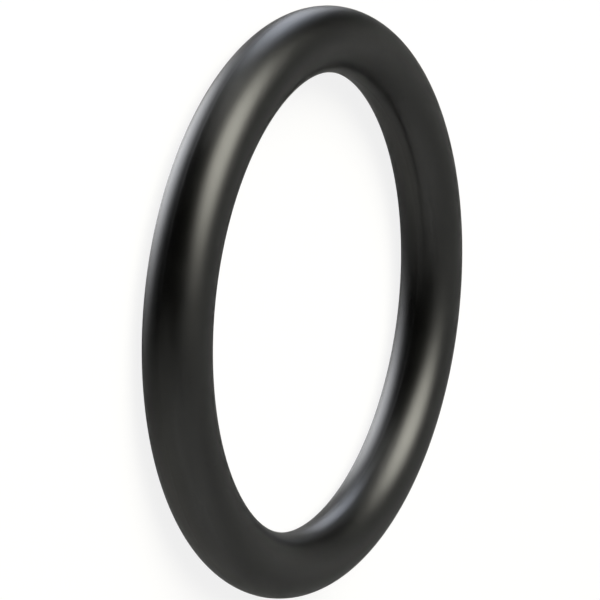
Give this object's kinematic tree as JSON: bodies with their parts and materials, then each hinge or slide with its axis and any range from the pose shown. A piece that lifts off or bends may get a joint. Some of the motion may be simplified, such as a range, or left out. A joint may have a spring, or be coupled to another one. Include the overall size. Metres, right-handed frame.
{
  "type": "rubber o-ring",
  "caption": "Black moulded rubber o-ring of round section, lying flat, for sealing a groove round a shaft or in a bore.",
  "frame": {"origin": "centre of the ring, half way up its section", "axes": "+Z along the ring's axis; X and Y lie in the plane of the mould line"},
  "size_m": [0.036, 0.036, 0.004],
  "materials": {
    "rubber": "satin"
  },
  "bodies": {
    "root": {"o_ring": "rubber"}
  },
  "joints": []
}
